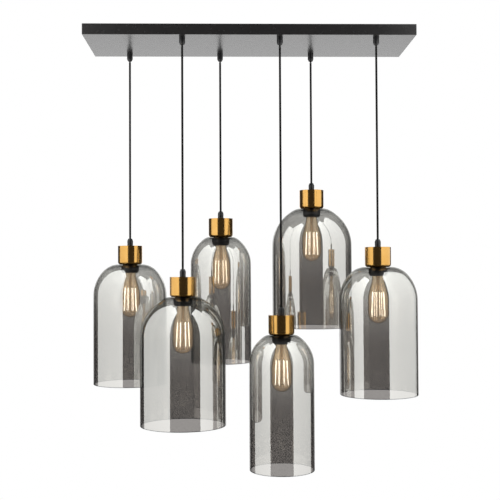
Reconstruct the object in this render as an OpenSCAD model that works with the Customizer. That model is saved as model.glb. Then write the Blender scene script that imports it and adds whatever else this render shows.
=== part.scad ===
// A bar pendant light: six glass lamps hang on cords from one long ceiling bar.
// Millimetres, +Z up. The origin is on the ceiling, over the middle of the bar.
// Lamps are numbered 1 to 6 from left to right. Odd lamps hang in the back row, even ones in front.

/* [Ceiling bar] */
// Length of the bar
bar_l = 770; // [700:5:1000]
// Width of the bar, front to back
bar_w = 220; // [200:5:300]
// Height of the bar
bar_h = 25; // [24:0.5:40]
// Thickness of the bar's folded sheet
sheet_t = 1.5; // [0.8:0.1:2]

/* [Layout] */
// Distance of each row of lamps from the bar's middle line
row_y = 83.5; // [80:0.5:90]
// Distance of lamps 1 and 6 from the bar's middle
outer_x = 295; // [285:1:320]
// Distance of lamps 2 and 5 from the bar's middle
middle_x = 157; // [150:1:165]
// Distance of lamps 3 and 4 from the bar's middle
inner_x = 70; // [60:1:78]

/* [Cords] */
// Diameter of the braided cord
cord_d = 5; // [4:0.1:6]
// Free length of cord 1, between its two grips
cord_1 = 443; // [200:1:1500]
// Free length of cord 2
cord_2 = 520; // [200:1:1500]
// Free length of cord 3
cord_3 = 376; // [200:1:1500]
// Free length of cord 4
cord_4 = 609; // [200:1:1500]
// Free length of cord 5
cord_5 = 306; // [200:1:1500]
// Free length of cord 6
cord_6 = 453; // [200:1:1500]

/* [Cord grips] */
// Diameter of a cord grip
grip_d = 14; // [12:0.5:16]
// Length of a cord grip outside what it is screwed to
grip_l = 18; // [14:0.5:24]
// Length of the grip's tapered nose
nose_l = 4.5; // [3:0.5:7]
// Diameter of the nose at its mouth
nose_d = 9; // [8.5:0.5:11]
// Diameter of the grip's thread
thread_d = 10; // [9:0.5:11]
// Width across the flats of the lock nut
nut_af = 14; // [13:0.5:17]
// Height of the lock nut
nut_h = 3; // [2:0.5:4]
// Length of thread that stands past what it holds
thread_spare = 1.5; // [0.5:0.5:3]

/* [Brass cups] */
// Diameter of the brass cup
cup_d = 60; // [58:1:64]
// Height of the brass cup
cup_h = 46; // [42:1:60]
// Wall of the brass cup
cup_t = 1.2; // [0.8:0.1:2]
// Radius of the cup's rounded lower shoulder
cup_round = 6; // [4:0.5:6.5]
// Diameter of the cup's open mouth
cup_mouth_d = 42; // [40:0.5:42]

/* [Glass shades] */
// Outer diameter of the wide shades, on lamps 2 and 5
wide_d = 197; // [185:1:200]
// Height of the wide shades, from the seat to the rim
wide_h = 295; // [240:5:360]
// Radius that blends a wide dome into its flat seat
wide_blend = 37; // [20:1:45]
// Outer diameter of the medium shades, on lamps 1 and 6
medium_d = 180; // [170:1:190]
// Height of the medium shades
medium_h = 295; // [240:5:360]
// Radius that blends a medium dome into its flat seat
medium_blend = 53; // [20:1:54]
// Outer diameter of the narrow shades, on lamps 3 and 4
narrow_d = 150; // [140:1:160]
// Height of the narrow shades
narrow_h = 310; // [240:5:360]
// Radius that blends a narrow dome into its flat seat
narrow_blend = 22; // [15:1:30]
// Thickness of the glass
glass_t = 2.5; // [2:0.1:4]

/* [Lampholders] */
// Diameter of the lampholder's skirt
holder_d = 36; // [34:0.5:37]
// How far the lampholder's mouth reaches below the glass seat
holder_reach = 21; // [19:0.5:26]
// Height of the lampholder's body above the glass seat
holder_body_h = 32; // [28:0.5:34]
// Diameter of the threaded boss on the lampholder
boss_d = 16; // [14:0.5:20]
// Wall of the lampholder
holder_t = 4; // [2.5:0.5:4]
// Thickness of the contact floor and of the roof inside
floor_t = 4; // [3:0.5:5]
// Height of the wire chamber between them
chamber_h = 13.7; // [12:0.1:15]
// Thickness of the brass screw shell
shell_t = 0.4; // [0.3:0.1:0.6]
// Diameter of the centre contact
contact_d = 8; // [6:0.5:12]
// Thickness of the centre contact
contact_t = 1; // [0.5:0.1:1.5]
// Depth of the mouth's plain lip, below the screw shell
lip_l = 4; // [3:0.5:5]
// Diameter of the mouth's plain lip
lip_d = 30.4; // [30:0.1:31.5]

/* [Shade rings] */
// Diameter of the ring's flange under the glass
flange_d = 55; // [50:1:56]
// Thickness of the flange
flange_t = 2; // [1.5:0.5:3]
// Diameter of the ring's body
ring_d = 43.5; // [41:0.5:46]
// Height of the straight part of the ring's body
ring_body_h = 10; // [6:0.5:11]
// Diameter of the ring at its foot
ring_foot_d = 38.6; // [38.4:0.1:40]
// How far the lampholder's mouth shows below the ring
ring_short = 1; // [0.5:0.5:2]

/* [Bulbs] */
// Diameter of the bulb
bulb_d = 48; // [44:1:60]
// Length of the bulb with its cap
bulb_l = 140; // [130:1:145]
// Diameter of the bulb's screw cap over the threads
cap_d = 26.2; // [26:0.05:26.4]
// Length of the screw cap
cap_l = 27; // [25:0.5:28]
// Wall of the screw cap
cap_t = 0.9; // [0.6:0.1:1]
// Pitch of the screw thread
thread_pitch = 3.6; // [3:0.1:4]
// Depth of the thread's rounded grooves
thread_depth = 0.8; // [0.5:0.1:1]
// Wall of the bulb's glass
bulb_t = 0.8; // [0.5:0.1:1.2]
// Diameter of the bulb's neck where it leaves the cap
neck_d = 27.2; // [26.6:0.1:28]
// Length over which the neck widens to the full diameter
neck_l = 58; // [45:1:65]

/* [Filaments] */
// Number of filament strands in the cage
strand_n = 8; // [6:1:12]
// Diameter of a strand
strand_d = 0.9; // [0.5:0.1:1.2]
// Diameter of the cage at its top
cage_top_d = 27; // [20:1:30]
// Diameter of the cage at its bottom
cage_low_d = 33; // [24:1:36]
// Height of the cage
cage_h = 57; // [45:1:60]
// How far the cage ends above the bulb's tip
cage_lift = 16; // [14:1:22]
// Diameter of the glass stem
stem_d = 6; // [4:0.5:8]
// Diameter of the button that holds the support wires
button_d = 8; // [6:0.5:9]

/* [Ceiling bracket] */
// Width of the bracket's strap
strap_w = 80; // [76:1:100]
// Thickness of the strap and its end tabs
strap_t = 2; // [1.5:0.5:3]
// Height of the end tabs
tab_h = 16; // [14:1:18]
// Distance between the two slots for the ceiling screws
slot_pitch = 500; // [400:10:600]
// Length of a slot, end to end
slot_l = 20; // [12:1:30]
// Width of a slot
slot_w = 5.5; // [4.5:0.5:6.5]
// Diameter of the hole for the mains cable
cable_hole_d = 16; // [12:1:18]
// How far the cable hole lies behind the middle of the strap
cable_hole_y = 28; // [27:0.5:29]

/* [Side screws] */
// Diameter of the side screws
screw_d = 4; // [3:0.5:4.5]
// Length of a side screw under its head
screw_l = 8; // [6:0.5:12]
// Diameter of a screw's head
head_d = 7; // [6:0.5:8]
// Height of a screw's rounded head
head_h = 1.6; // [1.2:0.1:2.2]
// Distance between the two screws at one end
screw_pitch = 50; // [30:1:60]
// Depth of the screws below the ceiling
screw_drop = 9; // [8:0.5:10]

/* [Terminal block] */
// Length of the terminal block
block_l = 40; // [36:1:60]
// Width of the terminal block
block_w = 34; // [32:1:36]
// Height of the terminal block
block_h = 14; // [13:0.5:15]
// Distance between neighbouring cord entries
entry_pitch = 11; // [9:0.5:11.5]
// How far a cord goes into the block
entry_l = 6; // [4:0.5:8]
// Depth of the cords' runs below the ceiling
run_drop = 10; // [9:0.5:11]
// Diameter of the block's entry for the mains cable
mains_d = 9; // [7:0.5:10]
// Diameter of the block's clamp screws
clamp_d = 4; // [3:0.5:5]
// Diameter of the block's fixing screw
fixing_d = 3; // [2.5:0.5:3.5]

/* [Clearances] */
// Gap between two pieces that touch or could rub
gap = 0.3; // [0.2:0.05:0.4]
// Gap around a thread, drawn plain, in its own hole
thread_gap = 0.05; // [0.02:0.01:0.1]
// Gap around a cord held in a grip
cord_gap = 0.1; // [0.05:0.05:0.2]
// Gap around a thread that passes through a plain hole
hole_gap = 0.2; // [0.1:0.05:0.4]
// Gap between the bulb's cap and the screw shell
socket_gap = 0.25; // [0.2:0.05:0.4]
// Gap between the lampholder and the hole in the glass
neck_gap = 0.6; // [0.4:0.1:1.5]

/* [Hidden] */
$fn = 64;
lamps = [1:6];
// Values for lamps 1 to 6; the first entry is not used
lamp_x = [0, -outer_x, -middle_x, -inner_x, inner_x, middle_x, outer_x];
cords = [0, cord_1, cord_2, cord_3, cord_4, cord_5, cord_6];
shade_d = [0, medium_d, wide_d, narrow_d, narrow_d, wide_d, medium_d];
shade_h = [0, medium_h, wide_h, narrow_h, narrow_h, wide_h, medium_h];
shade_blend = [0, medium_blend, wide_blend, narrow_blend, narrow_blend, wide_blend, medium_blend];
function row_side(i) = i % 2 == 1 ? 1 : -1;
function bar_side(i) = i > 3 ? 1 : -1;
function lamp_y(i) = row_side(i) * row_y;

// Heights on the way down: the mouth of the bar's grips, then each lamp's glass seat
mouth_z = -bar_h - grip_l;
function seat_z(i) = mouth_z - cords[i] - grip_l - cup_h;

// Sizes shared by a lamp's pieces, measured from its glass seat
bore_d = cord_d + 2 * cord_gap;
mouth_d = bore_d + 4 * gap;
cup_roof_z = cup_h - cup_t;
grip_tail_l = cup_t + (cup_roof_z - holder_body_h) * 0.6;
nut_tail_l = sheet_t + nut_h + thread_spare;
ring_foot_z = ring_short - holder_reach;
ring_bore_d = holder_d + 4 * thread_gap;
flange_z = -glass_t;
shell_in_d = cap_d + 2 * socket_gap;
shell_out_d = shell_in_d + 2 * shell_t;
shell_foot_z = lip_l - holder_reach;
chamber_top_z = holder_body_h - floor_t;
chamber_z = chamber_top_z - chamber_h;
contact_floor_z = chamber_z - floor_t;
contact_z = contact_floor_z - thread_gap - contact_t;
cap_top_z = contact_z - gap + thread_gap;
cap_foot_z = cap_top_z - cap_l;
core_d = cap_d - 2 * thread_depth;
sleeve_d = core_d - 2 * cap_t - 2 * thread_gap;
tip_z = cap_top_z - bulb_l;
cage_low_z = tip_z + cage_lift;
cage_top_z = cage_low_z + cage_h;
button_z = cage_top_z + button_d / 2;
seat_flat = flange_d / 2 + 0.5;

// Inside the bar
tab_x = bar_l / 2 - sheet_t - hole_gap;
nut_top_z = nut_tail_l - bar_h;
turn_x = block_l / 2 + 30;
turn_l = 14;

PER_LAMP = ["cord", "cord_root", "cord_grip", "brass_cup", "lampholder", "shade_ring",
    "glass_shade", "bulb_glass", "bulb_base"];

// Puts a piece at lamp i's glass seat
module at_lamp(i) {
    translate([lamp_x[i], lamp_y(i), seat_z(i)]) children();
}

// Folded steel tray that is open to the ceiling and drilled for the six cord grips
module bar_canopy() {
    color("#1b1a19") difference() {
        translate([-bar_l / 2, -bar_w / 2, -bar_h]) cube([bar_l, bar_w, bar_h]);
        translate([-bar_l / 2 + sheet_t, -bar_w / 2 + sheet_t, -bar_h + sheet_t])
            cube([bar_l - 2 * sheet_t, bar_w - 2 * sheet_t, bar_h]);
        for (i = lamps) translate([lamp_x[i], lamp_y(i), -bar_h - 1])
            cylinder(h = sheet_t + 2, d = thread_d + 2 * hole_gap);
        for (side = [-1, 1], y = [-1, 1]) translate([side * bar_l / 2, y * screw_pitch / 2, -screw_drop])
            rotate([0, 90, 0]) cylinder(h = 4 * sheet_t, d = screw_d + 2 * hole_gap, center = true);
    }
}

// Strap that is screwed to the ceiling, with a tapped tab turned down at each end
module ceiling_bracket() {
    color("#b9bcbe") difference() {
        union() {
            translate([-tab_x, -strap_w / 2, -strap_t]) cube([2 * tab_x, strap_w, strap_t]);
            for (side = [-1, 1]) translate([side * (tab_x - strap_t / 2), 0, -tab_h / 2])
                cube([strap_t, strap_w, tab_h], center = true);
        }
        for (side = [-1, 1]) translate([side * slot_pitch / 2, 0, -strap_t / 2]) {
            for (end = [-1, 1]) translate([end * (slot_l - slot_w) / 2, 0, 0])
                cylinder(h = 2 * strap_t, d = slot_w, center = true);
            cube([slot_l - slot_w, slot_w, 2 * strap_t], center = true);
        }
        translate([0, cable_hole_y, -strap_t / 2])
            cylinder(h = 2 * strap_t, d = cable_hole_d, center = true);
        translate([0, 0, -strap_t / 2])
            cylinder(h = 2 * strap_t, d = fixing_d + 2 * thread_gap, center = true);
        for (side = [-1, 1], y = [-1, 1]) translate([side * tab_x, y * screw_pitch / 2, -screw_drop])
            rotate([0, 90, 0]) cylinder(h = 4 * strap_t, d = screw_d + 2 * thread_gap, center = true);
    }
}

// Round-headed screw that points along -Z, with the underside of its head at zero
module round_screw(d, l, cap_w, cap_height) {
    ball_r = (cap_w * cap_w / 4 + cap_height * cap_height) / (2 * cap_height);
    intersection() {
        translate([0, 0, cap_height - ball_r]) sphere(r = ball_r);
        cylinder(h = cap_height + 1, d = cap_w);
    }
    translate([0, 0, -l]) cylinder(h = l + cap_height / 4, d = d);
}

// Four screws through the bar's end walls into the bracket's tabs
module side_screws() {
    color("#232221") for (side = [-1, 1], y = [-1, 1])
        translate([side * bar_l / 2, y * screw_pitch / 2, -screw_drop]) rotate([0, side * 90, 0])
            round_screw(screw_d, screw_l, head_d, head_h);
}

// Cord grip with its foot at zero, its nose up and its threaded tail down
module cord_grip(tail_l) {
    difference() {
        union() {
            cylinder(h = grip_l - nose_l, d = grip_d);
            translate([0, 0, grip_l - nose_l]) cylinder(h = nose_l, d1 = grip_d, d2 = nose_d);
            translate([0, 0, -tail_l]) cylinder(h = tail_l + 1, d = thread_d);
        }
        translate([0, 0, -tail_l - 1]) cylinder(h = tail_l + grip_l + 2, d = bore_d);
        translate([0, 0, grip_l - nose_l]) cylinder(h = nose_l, d1 = bore_d, d2 = mouth_d);
        translate([0, 0, grip_l]) cylinder(h = 1, d = mouth_d);
    }
}

// Six grips under the bar, each with its lock nut inside
module bar_cord_grips() {
    color("#141414") for (i = lamps) translate([lamp_x[i], lamp_y(i), -bar_h]) {
        mirror([0, 0, 1]) cord_grip(nut_tail_l);
        translate([0, 0, sheet_t]) difference() {
            cylinder(h = nut_h, d = nut_af / cos(30), $fn = 6);
            translate([0, 0, -1]) cylinder(h = nut_h + 2, d = thread_d + 2 * thread_gap);
        }
    }
}

// Junction block under the strap: three cords enter at each end and are clamped from below
module terminal_block() {
    color("#e8e6e0") difference() {
        translate([-block_l / 2, -block_w / 2, -strap_t - block_h]) cube([block_l, block_w, block_h]);
        for (side = [-1, 1], y = [-1, 0, 1]) {
            translate([side * (block_l / 2 - entry_l - gap), y * entry_pitch, -run_drop])
                rotate([0, side * 90, 0]) cylinder(h = block_l, d = cord_d + 2 * gap);
            translate([side * (block_l / 2 - entry_l - clamp_d), y * entry_pitch, -strap_t - block_h - 1])
                cylinder(h = block_h / 2, d = clamp_d + 2 * hole_gap);
        }
        translate([0, block_w / 2 - entry_l + 1, -run_drop])
            rotate([-90, 0, 0]) cylinder(h = block_w, d = mains_d);
        translate([0, 0, -strap_t - block_h - 1]) cylinder(h = block_h + 2, d = fixing_d + 2 * hole_gap);
    }
    color("#c9a24a") for (side = [-1, 1], y = [-1, 0, 1])
        translate([side * (block_l / 2 - entry_l - clamp_d), y * entry_pitch, -strap_t - block_h])
            cylinder(h = block_h / 2 - 1 - thread_gap, d = clamp_d);
    color("#b9bcbe") translate([0, 0, -strap_t - block_h - thread_gap]) mirror([0, 0, 1])
        round_screw(fixing_d, block_h + strap_t, 2 * fixing_d, fixing_d / 2);
}

// The terminal block's entry that lamp i's cord goes to
function entry_y(i) = (i == 1 || i == 6 ? 0 : row_side(i)) * entry_pitch;
// Points of a smooth bend that leaves a for the corner and arrives at b
function eased(a, corner, b) = [for (k = [0:4]) let (t = k / 4)
    (1 - t) * (1 - t) * a + 2 * t * (1 - t) * corner + t * t * b];
// Route of lamp i's cord from its grip, up, over and along under the strap to the block
function tail_route(i) =
    let (side = bar_side(i), grip = [lamp_x[i], lamp_y(i)], turn = [side * turn_x, entry_y(i)],
    over = concat(grip, [-run_drop]), corner = concat(turn, [-run_drop]), run = unit(corner - over))
    concat([concat(grip, [mouth_z + cord_d / 2 + gap])],
        eased(concat(grip, [nut_top_z]), over, over + run * (-run_drop - nut_top_z)),
        eased(corner - run * turn_l, corner, corner - [side * turn_l, 0, 0]),
        [[side * (block_l / 2 - entry_l), entry_y(i), -run_drop]]);

function unit(v) = v / norm(v);
function tangents(p) = let (n = len(p) - 1) [for (k = [0:n])
    unit((k == 0 ? [0, 0, 0] : unit(p[k] - p[k - 1])) + (k == n ? [0, 0, 0] : unit(p[k + 1] - p[k])))];
// Turns the section's first axis along with the tangents, with no twist
function carried(t, k, last) = k == len(t) ? [] :
    let (now = unit(last - (last * t[k]) * t[k])) concat([now], carried(t, k + 1, now));

// Plain tube of the given diameter along a route
module tube(route, d, sides = 10) {
    t = tangents(route);
    across = carried(t, 0, [1, 0, 0]);
    last = len(route) - 1;
    points = [for (k = [0:last]) for (j = [0:sides - 1]) let (a = 360 * j / sides)
        route[k] + d / 2 * (cos(a) * across[k] + sin(a) * cross(t[k], across[k]))];
    walls = [for (k = [0:last - 1]) for (j = [0:sides - 1])
        let (p = k * sides + j, q = k * sides + (j + 1) % sides)
            each [[p, p + sides, q + sides], [p, q + sides, q]]];
    polyhedron(points, concat([[for (j = [0:sides - 1]) j]], walls,
        [[for (j = [sides - 1:-1:0]) last * sides + j]]));
}

// Cord ends inside the bar, from each grip to the terminal block
module cord_tails() {
    color("#1d1c1b") for (i = lamps) tube(tail_route(i), cord_d);
}

// Short bend of a cord in the mouth of its grip, about which its lamp swings
module cord_root(i) {
    color("#171615") translate([lamp_x[i], lamp_y(i), mouth_z]) sphere(d = cord_d);
}

// Straight cord that hangs from the bar's grip and ends in the lampholder's wire chamber
module cord(i) {
    top_z = mouth_z - cord_d / 2 - gap;
    end_z = seat_z(i) + chamber_z + gap;
    color("#171615") translate([lamp_x[i], lamp_y(i), end_z]) cylinder(h = top_z - end_z, d = cord_d);
}

// Grip on top of a brass cup, screwed through it into the lampholder
module lamp_cord_grip(i) {
    color("#141414") at_lamp(i) translate([0, 0, cup_h]) cord_grip(grip_tail_l);
}

// Half outline of the cup, set in from its outside
module cup_outline(inset) {
    r = cup_d / 2 - cup_round;
    translate([0, cup_round]) square([cup_d / 2 - inset, cup_h - cup_round - inset]);
    translate([r, cup_round]) circle(r = cup_round - inset);
    translate([0, inset]) square([r, cup_round]);
}

// Spun brass cup that hides the lampholder and rests on the glass
module brass_cup(i) {
    color("#b07a33") at_lamp(i) rotate_extrude() difference() {
        cup_outline(0);
        cup_outline(cup_t);
        translate([0, -1]) square([cup_mouth_d / 2, cup_round]);
        translate([0, cup_h - 2 * cup_t]) square([thread_d / 2 + hole_gap, 3 * cup_t]);
    }
}

// Moulded lampholder with its brass screw shell and centre contact
module lampholder(i) {
    at_lamp(i) {
        color("#151515") difference() {
            union() {
                translate([0, 0, -holder_reach]) cylinder(h = holder_reach + holder_body_h, d = holder_d);
                translate([0, 0, holder_body_h - 1])
                    cylinder(h = cup_roof_z - holder_body_h + 1, d = boss_d);
            }
            translate([0, 0, -holder_reach - 1]) cylinder(h = lip_l + 1, d = lip_d);
            translate([0, 0, shell_foot_z - 1])
                cylinder(h = contact_floor_z - shell_foot_z + 1, d = shell_out_d + 2 * cord_gap);
            translate([0, 0, chamber_z])
                cylinder(h = chamber_top_z - chamber_z, d = holder_d - 2 * holder_t);
            translate([0, 0, chamber_top_z - 1])
                cylinder(h = cup_h - chamber_top_z + 1, d = thread_d + 2 * thread_gap);
        }
        color("#c9a24a") translate([0, 0, shell_foot_z]) difference() {
            cylinder(h = cap_top_z - shell_foot_z, d = shell_out_d);
            translate([0, 0, -1]) cylinder(h = cap_top_z - shell_foot_z + 2, d = shell_in_d);
        }
        color("#c9a24a") translate([0, 0, contact_z]) cylinder(h = contact_t, d = contact_d);
    }
}

// Screwed ring that clamps the glass up against the cup
module shade_ring(i) {
    body_z = flange_z - flange_t;
    color("#151515") at_lamp(i) difference() {
        union() {
            translate([0, 0, body_z]) cylinder(h = flange_t, d = flange_d);
            translate([0, 0, body_z - ring_body_h]) cylinder(h = ring_body_h + 1, d = ring_d);
            translate([0, 0, ring_foot_z])
                cylinder(h = body_z - ring_body_h - ring_foot_z, d1 = ring_foot_d, d2 = ring_d);
        }
        translate([0, 0, -holder_reach - 1]) cylinder(h = holder_reach + 1, d = ring_bore_d);
    }
}

// Depth of the dome's centre below the seat
function dome_z(r, blend) = blend + sqrt(pow(r - blend, 2) - pow(seat_flat, 2));

// Half outline of a shade: flat seat, blend, ball and straight wall, set in from its outside
module shade_outline(r, blend, depth, inset) {
    centre_z = dome_z(r, blend);
    join_z = (r - inset) * (centre_z - blend) / (r - blend) - centre_z;
    translate([0, -depth]) square([r - inset, depth - centre_z]);
    translate([0, -blend]) square([seat_flat, blend - inset]);
    intersection() {
        translate([0, -depth]) square([r, depth]);
        translate([seat_flat, -blend]) circle(r = blend - inset);
    }
    intersection() {
        translate([0, -depth]) square([r, depth + join_z]);
        translate([0, -centre_z]) circle(r = r - inset);
    }
}

// Blown smoked-glass shade, open at the bottom, with a hole for the lampholder on top
module glass_shade(i) {
    r = shade_d[i] / 2;
    h = shade_h[i];
    color("#8b8f91", 0.45) at_lamp(i) rotate_extrude($fn = 128) {
        difference() {
            shade_outline(r, shade_blend[i], h - glass_t / 2, 0);
            shade_outline(r, shade_blend[i], h + 1, glass_t);
            translate([0, -2 * glass_t]) square([holder_d / 2 + neck_gap, 3 * glass_t]);
        }
        translate([r - glass_t / 2, glass_t / 2 - h]) circle(d = glass_t);
    }
}

// Radius of the bulb's glass at a share of its neck, and the outline from the neck to the tip
function widen(k) = neck_d / 2 + (bulb_d - neck_d) / 2 * k * k * (3 - 2 * k);
function bulb_outline(inset) = let (r = bulb_d / 2, sleeve = sleeve_d / 2)
    concat([[sleeve - inset, cap_foot_z + 6], [sleeve - inset, cap_foot_z - gap]],
        [for (k = [0:10]) [widen(k / 10) - inset, cap_foot_z - 1.5 - k / 10 * neck_l]],
        [for (k = [0:9]) [(r - inset) * cos(10 * k), tip_z + r - (r - inset) * sin(10 * k)]]);

// Hollow bulb, open where its neck is cemented into the cap
module bulb_glass(i) {
    outer = bulb_outline(0);
    inner = bulb_outline(bulb_t);
    color("#d9a45a", 0.4) at_lamp(i) rotate_extrude()
        polygon(concat(outer, [for (k = [len(inner) - 1:-1:0]) inner[k]]));
}

// Straight wire between two points
module wire(from, to, d) {
    run = to - from;
    translate(from) rotate([0, acos(run.z / norm(run)), atan2(run.y, run.x)])
        cylinder(h = norm(run), d = d, $fn = 16);
}

// Brass screw cap, and the glass stem that carries the cage of filament strands
module bulb_base(i) {
    core_r = core_d / 2;
    collar_z = cap_top_z - 6;
    flare_r = sleeve_d / 2 - bulb_t - thread_gap;
    at_lamp(i) {
        color("#c9a24a") rotate_extrude() difference() {
            union() {
                polygon([[0, cap_top_z], [contact_d / 2, cap_top_z], [contact_d / 2, cap_top_z - 1],
                    [core_r - 2, cap_top_z - 3], [core_r, collar_z], [core_r, cap_foot_z], [0, cap_foot_z]]);
                translate([0, cap_foot_z]) square([cap_d / 2, 2]);
                for (k = [0:4]) translate([core_r, cap_foot_z + 4 + k * thread_pitch])
                    circle(r = thread_depth);
            }
            translate([0, cap_foot_z - 1]) square([core_r - cap_t, collar_z - cap_foot_z]);
        }
        color("#e9c58c") {
            rotate_extrude() polygon([[0, collar_z - 1 - gap], [stem_d / 3, collar_z - 1 - gap],
                [stem_d / 3, cap_foot_z + 5], [flare_r, cap_foot_z + 5], [flare_r, cap_foot_z + 4],
                [stem_d / 2, cap_foot_z - 8], [stem_d / 2, button_z], [0, button_z]]);
            translate([0, 0, button_z]) sphere(d = button_d);
            wire([0, 0, button_z], [0, 0, cage_low_z], strand_d * 2);
            for (k = [0:strand_n - 1]) rotate([0, 0, 360 * (k + 0.5) / strand_n]) {
                wire([0, 0, button_z], [cage_top_d / 2, 0, cage_top_z], strand_d);
                wire([cage_top_d / 2, 0, cage_top_z], [cage_low_d / 2, 0, cage_low_z], strand_d);
                wire([0, 0, cage_low_z + strand_d], [cage_low_d / 2, 0, cage_low_z], strand_d);
                translate([cage_top_d / 2, 0, cage_top_z]) sphere(d = strand_d * 1.3, $fn = 16);
                translate([cage_low_d / 2, 0, cage_low_z]) sphere(d = strand_d * 1.3, $fn = 16);
            }
        }
    }
}

bar_canopy();
ceiling_bracket();
side_screws();
bar_cord_grips();
cord_tails();
terminal_block();
for (i = lamps) {
    cord(i);
    cord_root(i);
    lamp_cord_grip(i);
    brass_cup(i);
    lampholder(i);
    shade_ring(i);
    glass_shade(i);
    bulb_glass(i);
    bulb_base(i);
}
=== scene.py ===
"""The looks of a bar pendant light: six glass lamps on braided cords under one black bar.

Lengths are in millimetres in the part's own frame (origin on the ceiling, +Z up, +X along the
bar, +Y away from the viewer) until a piece is finished, and in metres from then on.
"""

import logging
import math
from dataclasses import dataclass
from enum import Enum
from functools import cache
from typing import Callable, ClassVar, Sequence

import bmesh
import bpy
from mathutils import Matrix, Vector


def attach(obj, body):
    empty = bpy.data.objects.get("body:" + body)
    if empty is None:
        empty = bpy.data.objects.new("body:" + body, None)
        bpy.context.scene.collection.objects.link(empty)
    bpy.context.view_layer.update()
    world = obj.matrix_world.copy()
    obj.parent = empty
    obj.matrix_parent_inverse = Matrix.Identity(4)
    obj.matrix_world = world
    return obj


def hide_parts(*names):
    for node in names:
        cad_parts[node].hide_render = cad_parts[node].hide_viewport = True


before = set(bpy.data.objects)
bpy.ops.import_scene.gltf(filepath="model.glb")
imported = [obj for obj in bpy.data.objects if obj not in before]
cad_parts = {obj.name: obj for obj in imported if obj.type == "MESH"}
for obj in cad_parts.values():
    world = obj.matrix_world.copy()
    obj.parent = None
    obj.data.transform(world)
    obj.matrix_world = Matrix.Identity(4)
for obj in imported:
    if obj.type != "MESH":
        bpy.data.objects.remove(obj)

logging.basicConfig(level=logging.INFO, format="%(name)s: %(message)s")
log = logging.getLogger("pendant")

# A (radius, height) point of an outline, and the two ends of a range.
Point = tuple[float, float]
Span = tuple[float, float]
Triple = tuple[float, float, float]
Place = Sequence[float]
Inputs = dict[str | int, object]
Socket = bpy.types.NodeSocket

# Metres in a millimetre.
MM = 0.001
# Height of the bar grips' mouths, where the cords leave them.
MOUTH_Z = -43.0
# Length and diameter of a cord grip, without its thread.
GRIP_L, GRIP_D = 18.0, 14.0
# Diameter of the cords and height of the brass cups.
CORD_D, CUP_H = 5.0, 46.0
# Every shade's wall, the radius of its flat seat and the radius of the hole in that.
GLASS_T, SEAT_R, HOLE_R = 2.5, 28.0, 18.6


class Size(Enum):
    """The three shapes of shade: diameter, height, and radius of the blend into the flat seat."""

    WIDE = (197.0, 295.0, 37.0)
    MEDIUM = (180.0, 295.0, 53.0)
    NARROW = (150.0, 310.0, 22.0)


@dataclass(frozen=True)
class Lamp:
    """One hanging lamp.

    Args:
        number: 1 to 6, from left to right.
        x: place along the bar.
        y: place across the bar.
        cord: free length of its cord between the two grips.
        size: which shade it has.
    """

    number: int
    x: float
    y: float
    cord: float
    size: Size

    @property
    def seat(self) -> float:
        """Height of the glass's flat seat."""
        return MOUTH_Z - self.cord - GRIP_L - CUP_H


LAMPS = (
    Lamp(1, -295.0, 83.5, 443.0, Size.MEDIUM),
    Lamp(2, -157.0, -83.5, 520.0, Size.WIDE),
    Lamp(3, -70.0, 83.5, 376.0, Size.NARROW),
    Lamp(4, 70.0, -83.5, 609.0, Size.NARROW),
    Lamp(5, 157.0, 83.5, 306.0, Size.WIDE),
    Lamp(6, 295.0, -83.5, 453.0, Size.MEDIUM),
)


def srgb(code: str) -> tuple[float, float, float, float]:
    """Turns an sRGB hex colour into Blender's linear colour.

    Args:
        code: the colour, such as "#c0944f".

    Returns:
        Its linear red, green and blue, and an alpha of 1.
    """
    parts = [int(code.lstrip("#")[k : k + 2], 16) / 255 for k in (0, 2, 4)]
    linear = [c / 12.92 if c <= 0.04045 else ((c + 0.055) / 1.055) ** 2.4 for c in parts]
    return (linear[0], linear[1], linear[2], 1.0)


# Materials


def add_node(
    tree: bpy.types.NodeTree, kind: str, inputs: Inputs | None = None, **settings: object
) -> bpy.types.Node:
    """Adds a node, sets its properties and fills its inputs.

    Args:
        tree: the node tree that gets the node.
        kind: the node's Blender type.
        inputs: input name or index to a value, or to the output socket that drives it.
        settings: the node's own properties.

    Returns:
        The new node.
    """
    node = tree.nodes.new(kind)
    for key, value in settings.items():
        setattr(node, key, value)
    for key, value in (inputs or {}).items():
        if isinstance(value, Socket):
            tree.links.new(value, node.inputs[key])
        else:
            node.inputs[key].default_value = value
    return node


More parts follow.
